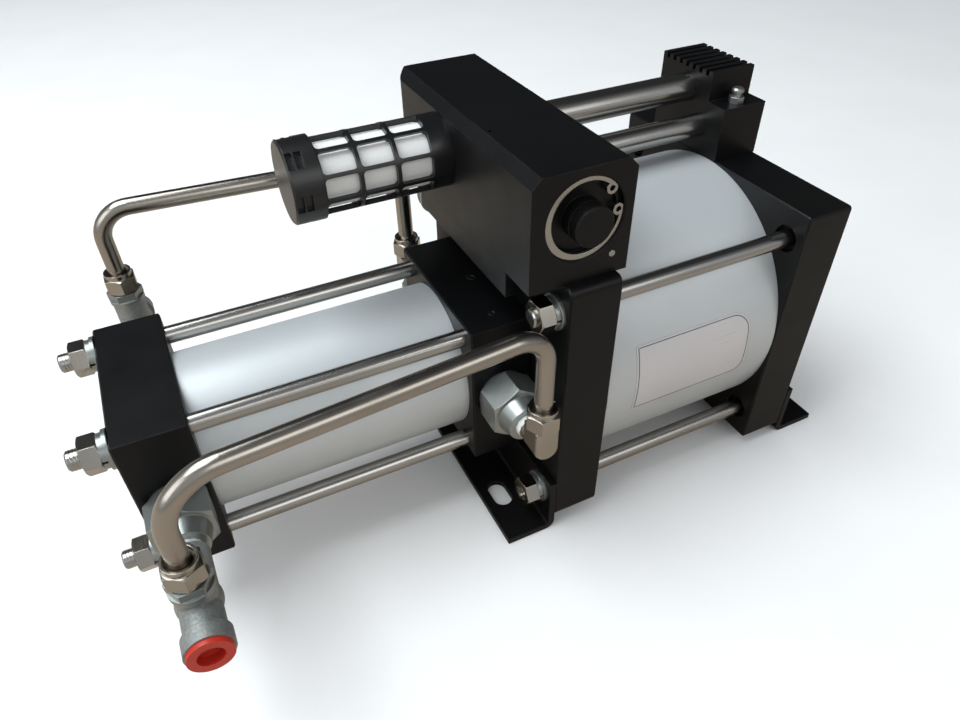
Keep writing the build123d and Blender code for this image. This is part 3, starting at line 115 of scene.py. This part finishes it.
def edge_mask(tree, coords, radius, raggedness):
    """White along sharp edges, broken up by noise; also gives the rounded normal."""
    bevel = tree.nodes.new("ShaderNodeBevel")
    bevel.samples = 4
    bevel.inputs["Radius"].default_value = radius
    geometry = tree.nodes.new("ShaderNodeNewGeometry")
    product = tree.nodes.new("ShaderNodeVectorMath")
    product.operation = "DOT_PRODUCT"
    tree.links.new(bevel.outputs["Normal"], product.inputs[0])
    tree.links.new(geometry.outputs["Normal"], product.inputs[1])
    edge = remap(tree, product.outputs["Value"], 0.80, 0.985, 1.0, 0.0)
    ragged = remap(tree, noise(tree, coords, raggedness, 6.0), 0.42, 0.62, 0.0, 1.0)
    return maths(tree, "MULTIPLY", edge, ragged), bevel.outputs["Normal"]


def surface(name, colour, shade, worn, metallic, roughness, grain, streak,
            wear=0.5, edge=0.0005, patch=9.0, specks=0.0, sheen=0.5, coat=0.0):
    """A procedural finish.

    colour and shade are its two tones, and worn is the tone of rubbed edges.
    roughness is (low, high). grain is (scale, depth in metres).
    streak is (scale along X, Y and Z, depth in metres).
    """
    made = bpy.data.materials.new(name)
    made.use_nodes = True
    tree = made.node_tree
    tree.nodes.clear()
    coords = tree.nodes.new("ShaderNodeTexCoord").outputs["Object"]
    large = noise(tree, coords, patch, 3.0)
    fine = noise(tree, coords, grain[0], 5.0, 0.6)
    lines = noise(tree, stretched(tree, coords, streak[0]), 1.0, 3.0, 0.5)
    rubbed, rounded = edge_mask(tree, coords, edge, 60.0)

    tone = blend_colour(tree, remap(tree, large, 0.35, 0.65, 0.0, 1.0), colour, shade)
    speckled = remap(tree, fine, 0.40, 0.66, 0.0, specks)
    tone = blend_colour(tree, speckled, tone, worn)
    tone = blend_colour(tree, maths(tree, "MULTIPLY", rubbed, wear), tone, worn)

    spread = roughness[1] - roughness[0]
    base = remap(tree, large, 0.3, 0.7, roughness[0], roughness[0] + spread * 0.6)
    drawn = remap(tree, lines, 0.3, 0.7, 0.0, spread * 0.4)
    rough = maths(tree, "ADD", base, drawn)

    grained = tree.nodes.new("ShaderNodeBump")
    grained.inputs["Strength"].default_value = 1.0
    grained.inputs["Distance"].default_value = grain[1]
    tree.links.new(fine, grained.inputs["Height"])
    tree.links.new(rounded, grained.inputs["Normal"])
    lined = tree.nodes.new("ShaderNodeBump")
    lined.inputs["Strength"].default_value = 1.0
    lined.inputs["Distance"].default_value = streak[1]
    tree.links.new(lines, lined.inputs["Height"])
    tree.links.new(grained.outputs["Normal"], lined.inputs["Normal"])

    shader = add(tree, "ShaderNodeBsdfPrincipled", Metallic=metallic)
    shader.inputs["Specular IOR Level"].default_value = sheen
    shader.inputs["Coat Weight"].default_value = coat
    tree.links.new(tone, shader.inputs["Base Color"])
    tree.links.new(rough, shader.inputs["Roughness"])
    tree.links.new(lined.outputs["Normal"], shader.inputs["Normal"])
    output = tree.nodes.new("ShaderNodeOutputMaterial")
    tree.links.new(shader.outputs["BSDF"], output.inputs["Surface"])
    return made


# Finishes

black_anodised = surface(
    "black_anodised", (0.0030, 0.0032, 0.0038), (0.0046, 0.0044, 0.0044), (0.090, 0.086, 0.080),
    0.0, (0.30, 0.46), (2600.0, 0.000012), ((60.0, 60.0, 60.0), 0.000003), wear=0.55, sheen=0.20)
turned_barrel = surface(
    "satin_aluminium", (0.60, 0.635, 0.655), (0.55, 0.585, 0.605), (0.76, 0.77, 0.77),
    0.40, (0.38, 0.52), (1800.0, 0.00001), ((2400.0, 12.0, 12.0), 0.000008), wear=0.3)
drawn_stainless = surface(
    "drawn_stainless", (0.43, 0.42, 0.40), (0.35, 0.335, 0.315), (0.66, 0.65, 0.62),
    1.0, (0.16, 0.30), (1500.0, 0.000004), ((9.0, 900.0, 900.0), 0.000004), wear=0.3)
bent_stainless = surface(
    "bent_stainless", (0.40, 0.37, 0.33), (0.31, 0.28, 0.245), (0.62, 0.60, 0.56),
    1.0, (0.16, 0.30), (900.0, 0.000005), ((60.0, 60.0, 60.0), 0.000006), wear=0.3)
zinc_steel = surface(
    "zinc_steel", (0.36, 0.385, 0.375), (0.28, 0.30, 0.29), (0.66, 0.67, 0.66),
    0.9, (0.26, 0.42), (1300.0, 0.00003), ((200.0, 200.0, 900.0), 0.000008), wear=0.5)
cast_metal = surface(
    "cast_metal", (0.33, 0.35, 0.34), (0.25, 0.265, 0.26), (0.55, 0.56, 0.55),
    0.75, (0.42, 0.62), (650.0, 0.00022), ((90.0, 90.0, 90.0), 0.00006), wear=0.5, specks=0.25)
bright_nut = surface(
    "bright_nut", (0.44, 0.41, 0.36), (0.36, 0.33, 0.285), (0.72, 0.70, 0.65),
    1.0, (0.10, 0.24), (1200.0, 0.000006), ((700.0, 50.0, 50.0), 0.000004), wear=0.6)
bronze = surface(
    "bronze", (0.50, 0.30, 0.12), (0.40, 0.24, 0.10), (0.66, 0.46, 0.24),
    1.0, (0.25, 0.40), (900.0, 0.00001), ((900.0, 30.0, 30.0), 0.000008))
rubber = surface(
    "seal_rubber", (0.018, 0.018, 0.019), (0.026, 0.026, 0.026), (0.05, 0.05, 0.05),
    0.0, (0.55, 0.72), (1100.0, 0.00002), ((120.0, 120.0, 120.0), 0.00001))
black_plastic = surface(
    "black_plastic", (0.0045, 0.0050, 0.0058), (0.0070, 0.0072, 0.0078), (0.060, 0.062, 0.064),
    0.0, (0.24, 0.38), (1500.0, 0.00003), ((60.0, 60.0, 60.0), 0.00001), wear=0.3)
filter_white = surface(
    "white_filter", (0.80, 0.81, 0.80), (0.70, 0.715, 0.71), (0.88, 0.88, 0.87),
    0.0, (0.70, 0.90), (1700.0, 0.00025), ((300.0, 300.0, 300.0), 0.0001), specks=0.5)
red_plastic = surface(
    "red_plastic", (0.56, 0.030, 0.014), (0.46, 0.022, 0.010), (0.72, 0.12, 0.06),
    0.0, (0.30, 0.44), (800.0, 0.00003), ((120.0, 120.0, 120.0), 0.00001), wear=0.4)
spring_steel = surface(
    "spring_steel", (0.42, 0.42, 0.42), (0.34, 0.34, 0.34), (0.55, 0.55, 0.55),
    1.0, (0.25, 0.40), (1200.0, 0.00001), ((300.0, 300.0, 300.0), 0.000006))
plate_silver = surface(
    "plate_silver", (0.68, 0.675, 0.70), (0.63, 0.625, 0.65), (0.82, 0.82, 0.82),
    0.30, (0.24, 0.36), (2200.0, 0.000006), ((14.0, 1500.0, 1500.0), 0.000005), wear=0.6)
plate_line = surface(
    "plate_line", (0.060, 0.058, 0.064), (0.045, 0.044, 0.050), (0.16, 0.16, 0.16),
    0.0, (0.30, 0.44), (900.0, 0.00001), ((200.0, 200.0, 200.0), 0.00001), wear=0.3)
seal_tape = surface(
    "seal_tape", (0.78, 0.78, 0.76), (0.68, 0.68, 0.66), (0.86, 0.86, 0.85),
    0.0, (0.45, 0.62), (900.0, 0.0001), ((400.0, 60.0, 400.0), 0.00008))

slot_finish = {
    "black_anodised": black_anodised,
    "satin_aluminium": turned_barrel,
    "stainless": drawn_stainless,
    "zinc_steel": zinc_steel,
    "castings": cast_metal,
    "plated_nuts": bright_nut,
    "bronze": bronze,
    "seal_rubber": rubber,
    "black_plastic": black_plastic,
    "white_filter": filter_white,
    "red_plastic": red_plastic,
    "spring_steel": spring_steel,
}

nodes = frame["nodes"]
for part in frame["record"]["subparts"]:
    node = nodes[part["node"]]
    node.data.materials.clear()
    node.data.materials.append(slot_finish[part["material_slot"]])

for name in ("inlet_tube", "outlet_tube"):
    nodes[name].data.materials[0] = bent_stainless


# Mesh helpers

def mesh_piece(name, vertices, faces, material, smooth=True):
    """A new piece on the static body, made from vertices and faces."""
    mesh = bpy.data.meshes.new(name)
    mesh.from_pydata([tuple(v) for v in vertices], [], faces)
    mesh.materials.append(material)
    work = bmesh.new()
    work.from_mesh(mesh)
    bmesh.ops.recalc_face_normals(work, faces=work.faces)
    for face in work.faces:
        face.smooth = smooth
    work.to_mesh(mesh)
    work.free()
    mesh.set_sharp_from_angle(angle=math.radians(35))
    piece = bpy.data.objects.new(name, mesh)
    scene.collection.objects.link(piece)
    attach(piece, "frame")
    return piece


def across(axis):
    """Two unit directions square to an axis."""
    axis = axis.normalized()
    side = Vector((0, 0, 1)) if abs(axis.z) < 0.9 else Vector((1, 0, 0))
    first = axis.cross(side).normalized()
    return first, axis.cross(first).normalized()


def turned(name, base, axis, profile, material, segments=48):
    """A turned piece. The profile lists (distance along the axis, radius)."""
    first, second = across(axis)
    vertices, faces = [], []
    for along, radius in profile:
        for step in range(segments):
            angle = math.tau * step / segments
            vertices.append(base + axis * along + (first * math.cos(angle) + second * math.sin(angle)) * radius)
    for row in range(len(profile) - 1):
        for step in range(segments):
            after = (step + 1) % segments
            faces.append((row * segments + step, row * segments + after,
                          (row + 1) * segments + after, (row + 1) * segments + step))
    return mesh_piece(name, vertices, faces, material)


def screw_thread(name, base, axis, length, radius, pitch, depth, material, segments=40):
    """A helical ridge round a stem. radius is the crest's."""
    first, second = across(axis)
    turns = length / pitch - 1
    steps = int(turns * segments)
    flat = pitch * 0.12
    section = ((-0.46 * pitch, -depth), (-flat, 0.0), (flat, 0.0), (0.46 * pitch, -depth))
    vertices, faces = [], []
    for step in range(steps + 1):
        angle = math.tau * step / segments
        outward = first * math.cos(angle) + second * math.sin(angle)
        centre = base + axis * (pitch * (0.5 + step / segments))
        fade = min(1.0, 6.0 * step / segments, 6.0 * (steps - step) / segments)
        for along, lift in section:
            vertices.append(centre + axis * along * max(fade, 0.15) + outward * (radius - depth + (lift + depth) * fade))
    count = len(section)
    for step in range(steps):
        for corner in range(count):
            after = (corner + 1) % count
            faces.append((step * count + corner, step * count + after,
                          (step + 1) * count + after, (step + 1) * count + corner))
    faces.append(tuple(range(count)))
    faces.append(tuple(steps * count + corner for corner in range(count)))
    return mesh_piece(name, vertices, faces, material)


def bead(name, path, radius, material, sides=10):
    """A closed round bead along a path of points."""
    vertices, faces = [], []
    count = len(path)
    for index, point in enumerate(path):
        along = (path[(index + 1) % count] - path[index - 1]).normalized()
        outward = Vector((0, point.y, point.z - AXIS_Z)).normalized()
        side = along.cross(outward).normalized()
        for step in range(sides):
            angle = math.tau * step / sides
            vertices.append(point + (outward * math.cos(angle) * 0.5 + side * math.sin(angle)) * radius)
    for index in range(count):
        ahead = (index + 1) % count
        for step in range(sides):
            after = (step + 1) % sides
            faces.append((index * sides + step, index * sides + after,
                          ahead * sides + after, ahead * sides + step))
    return mesh_piece(name, vertices, faces, material)


# Bare plate on the air barrel

PLATE_START, PLATE_END = 0.069, 0.150
PLATE_LOW, PLATE_HIGH = math.radians(-10.0), math.radians(20.4)
HIGH_RIGHT_CORNER = 0.014
LOW_RIGHT_CORNER = 0.008
LEFT_CORNER = 0.001
PLATE_THICKNESS = 0.0003
BORDER_INSET = 0.0014
BORDER_RADIUS = 0.00026

barrel_low, barrel_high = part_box("drive_barrel")
barrel_radius = (barrel_high.z - barrel_low.z) / 2
plate_radius = barrel_radius + 0.00003


def on_barrel(x, height, radius):
    """A point on the barrel's front, by its place along X and its height round the barrel."""
    angle = height / barrel_radius
    return Vector((x, -radius * math.cos(angle), AXIS_Z + radius * math.sin(angle)))


def plate_outline(inset, steps=12):
    """The plate's outline, moved inwards, as (x, height round the barrel)."""
    low, high = PLATE_LOW * barrel_radius + inset, PLATE_HIGH * barrel_radius - inset
    left, right = PLATE_START + inset, PLATE_END - inset
    points = []
    for x, height, corner, start in ((right, high, HIGH_RIGHT_CORNER, 0.0), (left, high, LEFT_CORNER, 90.0),
                                     (left, low, LEFT_CORNER, 180.0), (right, low, LOW_RIGHT_CORNER, 270.0)):
        corner = max(corner - inset, 0.0003)
        middle_x = x - corner if x == right else x + corner
        middle_height = height - corner if height == high else height + corner
        for step in range(steps + 1):
            angle = math.radians(start + 90.0 * step / steps)
            points.append((middle_x + corner * math.cos(angle), middle_height + corner * math.sin(angle)))
    return points


def plate_span(x):
    """The plate's lowest and highest heights at a place along X."""
    low, high = PLATE_LOW * barrel_radius, PLATE_HIGH * barrel_radius
    cuts = []
    for corner in (LOW_RIGHT_CORNER, HIGH_RIGHT_CORNER):
        near = max(max(corner - (PLATE_END - x), LEFT_CORNER - (x - PLATE_START)), 0.0)
        size = corner if PLATE_END - x < corner else LEFT_CORNER
        cuts.append(size - math.sqrt(max(size ** 2 - min(near, size) ** 2, 0.0)))
    return low + cuts[0], high - cuts[1]


def bare_plate():
    columns, rows = 80, 24
    vertices, faces = [], []
    for layer in (plate_radius, plate_radius + PLATE_THICKNESS):
        for column in range(columns + 1):
            share = 0.5 - 0.5 * math.cos(math.pi * column / columns)
            x = PLATE_START + (PLATE_END - PLATE_START) * share
            low, high = plate_span(x)
            for row in range(rows + 1):
                vertices.append(on_barrel(x, low + (high - low) * row / rows, layer))
    width, layer_size = rows + 1, (columns + 1) * (rows + 1)

    def rim(start, stop, step):
        for a in range(start, stop, step):
            faces.append((a, a + step, a + step + layer_size, a + layer_size))

    for layer in (0, layer_size):
        for column in range(columns):
            for row in range(rows):
                a = layer + column * width + row
                faces.append((a, a + 1, a + width + 1, a + width))
    rim(0, rows, 1)
    rim(columns * width, columns * width + rows, 1)
    rim(0, columns * width, width)
    rim(rows, columns * width + rows, width)
    return mesh_piece("bare_plate", vertices, faces, plate_silver)


def plate_border():
    """A raised dark line just inside the plate's outline."""
    outline = plate_outline(BORDER_INSET)
    path = []
    for index, (x, height) in enumerate(outline):
        ahead_x, ahead_height = outline[(index + 1) % len(outline)]
        pieces = max(1, round(math.hypot(ahead_x - x, ahead_height - height) / 0.002))
        for step in range(pieces):
            share = step / pieces
            path.append(on_barrel(x + (ahead_x - x) * share, height + (ahead_height - height) * share,
                                  plate_radius + PLATE_THICKNESS))
    return bead("plate_border", path, BORDER_RADIUS, plate_line)


bare_plate()
plate_border()


# Threads on the tie rods

ROD_THREAD_PITCH = 0.0015
ROD_THREAD_RADIUS = 0.00512
ROD_THREAD_DEPTH = 0.0003

HIDDEN_THREAD = 0.004
AIR_THREAD_SHOWN = 0.002
ROD_RADIUS = 0.005
ROD_END_BREAK = 0.0003

gas_thread_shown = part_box("tie_rod_nuts")[0].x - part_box("boost_tie_rods")[0].x
for group, rods, shown in (("gas", "boost_tie_rods", gas_thread_shown),
                           ("air", "drive_tie_rods", AIR_THREAD_SHOWN)):
    low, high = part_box(rods)
    for side_y, y in (("front", low.y + ROD_RADIUS), ("rear", high.y - ROD_RADIUS)):
        for side_z, z in (("lower", low.z + ROD_RADIUS), ("upper", high.z - ROD_RADIUS)):
            screw_thread(f"{group}_rod_thread_{side_y}_{side_z}", Vector((low.x + ROD_END_BREAK, y, z)),
                         Vector((1, 0, 0)), shown + HIDDEN_THREAD, ROD_THREAD_RADIUS,
                         ROD_THREAD_PITCH, ROD_THREAD_DEPTH, drawn_stainless)


# Plugs and pins

def socket_plug(name, centre, up, radius, flats, height, material):
    """A round plug with a hexagon socket in its face."""
    first, second = across(up)
    segments = 48
    floor = height * 0.15
    rings = []
    for along, size, kind in ((0.0, radius, "round"), (height * 0.7, radius, "round"),
                              (height, radius - height * 0.3, "round"), (height, flats / 2, "hex"),
                              (floor, flats / 2, "hex"), (floor, flats * 0.02, "hex")):
        ring = []
        for step in range(segments):
            angle = math.tau * step / segments
            reach = size
            if kind == "hex":
                reach = size / math.cos((angle + math.pi / 6) % (math.pi / 3) - math.pi / 6)
            ring.append(centre + up * along + (first * math.cos(angle) + second * math.sin(angle)) * reach)
        rings.append(ring)
    vertices = [point for ring in rings for point in ring]
    faces = []
    for row in range(len(rings) - 1):
        for step in range(segments):
            after = (step + 1) % segments
            faces.append((row * segments + step, row * segments + after,
                          (row + 1) * segments + after, (row + 1) * segments + step))
    faces.append(tuple((len(rings) - 1) * segments + step for step in range(segments)))
    return mesh_piece(name, vertices, faces, material)


UP = Vector((0, 0, 1))
FRONT = Vector((0, -1, 0))
block_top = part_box("centre_block")[1].z
valve_low, valve_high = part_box("valve_body")
socket_plug("block_plug_rear", Vector((0.007, 0.001, block_top)), UP, 0.0028, 0.0026, 0.0004, black_anodised)
socket_plug("block_plug_front", Vector((0.002, -0.036, block_top)), UP, 0.0024, 0.0022, 0.0004, black_anodised)

turned("valve_face_pin", Vector((0.0455, valve_low.y, 0.190)), FRONT,
       ((-0.0004, 0.0018), (0.0002, 0.0018), (0.0004, 0.0014), (0.0004, 0.00002)), drawn_stainless)
turned("valve_top_pin", Vector((0.0076, -0.0239, valve_high.z)), UP,
       ((-0.0004, 0.0011), (-0.00002, 0.0011), (0.0000, 0.0008), (0.0000, 0.00002)), drawn_stainless)


# Sealing tape on the gas fittings' threads

TAPE_WIDTH = 0.0040
TAPE_THICKNESS = 0.00012
THREAD_RADIUS = 0.0067
STEPS_PER_TURN = 40
TORN_STEPS = 16


def sealing_tape(name, centre, axis, start, turns, tail, lift, skew):
    """A wound strip with ragged edges, whose torn end stands off the thread by tail and lift."""
    first, second = across(axis)
    wound = int(STEPS_PER_TURN * turns)
    vertices, faces = [], []
    for step in range(wound + TORN_STEPS + 1):
        share = min(step / wound, 1.0)
        angle = math.radians(start) + math.tau * turns * share
        outward = first * math.cos(angle) + second * math.sin(angle)
        around = second * math.cos(angle) - first * math.sin(angle)
        point = centre + outward * (THREAD_RADIUS + TAPE_THICKNESS * turns * share)
        half = TAPE_WIDTH / 2
        if step > wound:
            torn = (step - wound) / TORN_STEPS
            point += around * tail * torn + outward * lift * torn ** 1.6 + axis * skew * torn ** 1.3
            half *= 1.0 - 0.6 * torn
        for side in (-1, 1):
            ragged = half * (1.0 + 0.10 * math.sin(1.9 * step + side) + 0.07 * math.sin(4.7 * step - side))
            pucker = 0.00009 * math.sin(2.6 * step + 2.0 * side)
            for layer in (-0.5, 0.5):
                vertices.append(point + axis * side * ragged + outward * (pucker + layer * TAPE_THICKNESS))
    last = len(vertices) - 4
    for row in range(0, last, 4):
        for corner, after in ((0, 1), (1, 3), (3, 2), (2, 0)):
            faces.append((row + corner, row + after, row + 4 + after, row + 4 + corner))
    faces.append((0, 1, 3, 2))
    faces.append((last, last + 2, last + 3, last + 1))
    return mesh_piece(name, vertices, faces, seal_tape)


thread_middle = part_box("check_valve_bodies")[1].y + TAPE_WIDTH / 2
end_x = sum(corner.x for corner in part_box("outlet_tee")) / 2
centre_x = sum(corner.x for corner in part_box("tube_elbows")) / 2
for name, x, side, start, tail, lift, skew in (
        ("tape_outlet_tee", end_x, -1, 200.0, 0.0050, 0.0042, 0.0022),
        ("tape_inlet_tee", end_x, 1, 40.0, 0.0030, 0.0016, 0.0006),
        ("tape_outlet_elbow", centre_x, -1, 75.0, 0.0042, 0.0034, -0.0012),
        ("tape_inlet_elbow", centre_x, 1, 150.0, 0.0024, 0.0012, 0.0006)):
    sealing_tape(name, Vector((x, side * thread_middle, AXIS_Z)), Vector((0, side, 0)), start, 2.3, tail, lift, skew)


# Stage

FLOOR_BOUNCE = (0.46, 0.40, 0.34)
SKY_DARK_WAY = (0.45, 0.60, 0.66)


def stage_floor():
    """White to the camera, and a warm tan in what it throws back at the pump."""
    mesh = bpy.data.meshes.new("floor")
    work = bmesh.new()
    bmesh.ops.create_grid(work, x_segments=24, y_segments=24, size=5.0)
    work.to_mesh(mesh)
    work.free()
    floor = bpy.data.objects.new("floor", mesh)
    floor.location = (0, 0, -0.0001)
    scene.collection.objects.link(floor)
    pale = surface(
        "pale_floor", (0.86, 0.86, 0.86), (0.84, 0.84, 0.84), (0.87, 0.87, 0.87),
        0.0, (0.85, 0.95), (60.0, 0.00005), ((20.0, 20.0, 20.0), 0.00002), wear=0.0, sheen=0.1)
    mesh.materials.append(pale)
    tree = pale.node_tree
    warm = add(tree, "ShaderNodeBsdfDiffuse", Color=(*FLOOR_BOUNCE, 1.0))
    by_ray = tree.nodes.new("ShaderNodeMixShader")
    tree.links.new(tree.nodes.new("ShaderNodeLightPath").outputs["Is Camera Ray"], by_ray.inputs[0])
    tree.links.new(warm.outputs[0], by_ray.inputs[1])
    tree.links.new(tree.nodes["Principled BSDF"].outputs[0], by_ray.inputs[2])
    tree.links.new(by_ray.outputs[0], tree.nodes["Material Output"].inputs["Surface"])


def area_light(name, place, target, size, power, colour):
    lamp = bpy.data.lights.new(name, "AREA")
    lamp.shape = "RECTANGLE"
    lamp.size, lamp.size_y = size
    lamp.energy = power
    lamp.color = colour
    holder = bpy.data.objects.new(name, lamp)
    holder.location = place
    holder.rotation_euler = (Vector(target) - Vector(place)).to_track_quat("-Z", "Y").to_euler()
    scene.collection.objects.link(holder)


stage_floor()
area_light("key", (-0.75, 0.25, 1.7), (0.0, 0.0, 0.08), (1.4, 1.0), 31.0, (0.93, 0.98, 1.0))
area_light("fill", (0.4, -1.6, 1.2), (0.0, 0.0, 0.1), (1.6, 0.9), 7.5, (1.0, 0.97, 0.92))
area_light("side", (-1.7, -0.3, 0.9), (0.0, 0.0, 0.1), (1.2, 1.0), 8.0, (0.96, 0.98, 1.0))

world = bpy.data.worlds.new("studio")
scene.world = world
world.use_nodes = True
sky = world.node_tree
sky.nodes.clear()
seen = add(sky, "ShaderNodeBackground", Color=(1.0, 1.0, 1.0, 1.0), Strength=1.0)
soft = add(sky, "ShaderNodeBackground", Color=(0.90, 0.95, 1.0, 1.0), Strength=0.50)
mirrored = add(sky, "ShaderNodeBackground", Color=(0.90, 0.95, 1.0, 1.0))
towards = sky.nodes.new("ShaderNodeVectorMath")
towards.operation = "DOT_PRODUCT"
sky.links.new(sky.nodes.new("ShaderNodeTexCoord").outputs["Generated"], towards.inputs[0])
towards.inputs[1].default_value = SKY_DARK_WAY
sky.links.new(remap(sky, towards.outputs["Value"], -0.2, 0.8, 0.62, 0.04), mirrored.inputs["Strength"])
path_kind = sky.nodes.new("ShaderNodeLightPath")
lit = sky.nodes.new("ShaderNodeMixShader")
sky.links.new(path_kind.outputs["Is Glossy Ray"], lit.inputs[0])
sky.links.new(soft.outputs[0], lit.inputs[1])
sky.links.new(mirrored.outputs[0], lit.inputs[2])
choice = sky.nodes.new("ShaderNodeMixShader")
sky.links.new(path_kind.outputs["Is Camera Ray"], choice.inputs[0])
sky.links.new(lit.outputs[0], choice.inputs[1])
sky.links.new(seen.outputs[0], choice.inputs[2])
output = sky.nodes.new("ShaderNodeOutputWorld")
sky.links.new(choice.outputs[0], output.inputs["Surface"])

camera_data = bpy.data.cameras.new("camera")
camera_data.lens = CAMERA_LENS
camera_data.sensor_width = CAMERA_SENSOR
camera_data.shift_x, camera_data.shift_y = CAMERA_SHIFT
camera_data.clip_start, camera_data.clip_end = 0.01, 20.0
camera = bpy.data.objects.new("camera", camera_data)
camera.location = CAMERA_PLACE
camera.rotation_euler = Euler([math.radians(angle) for angle in CAMERA_ANGLES])
scene.collection.objects.link(camera)
scene.camera = camera
scene.view_settings.view_transform = "Standard"
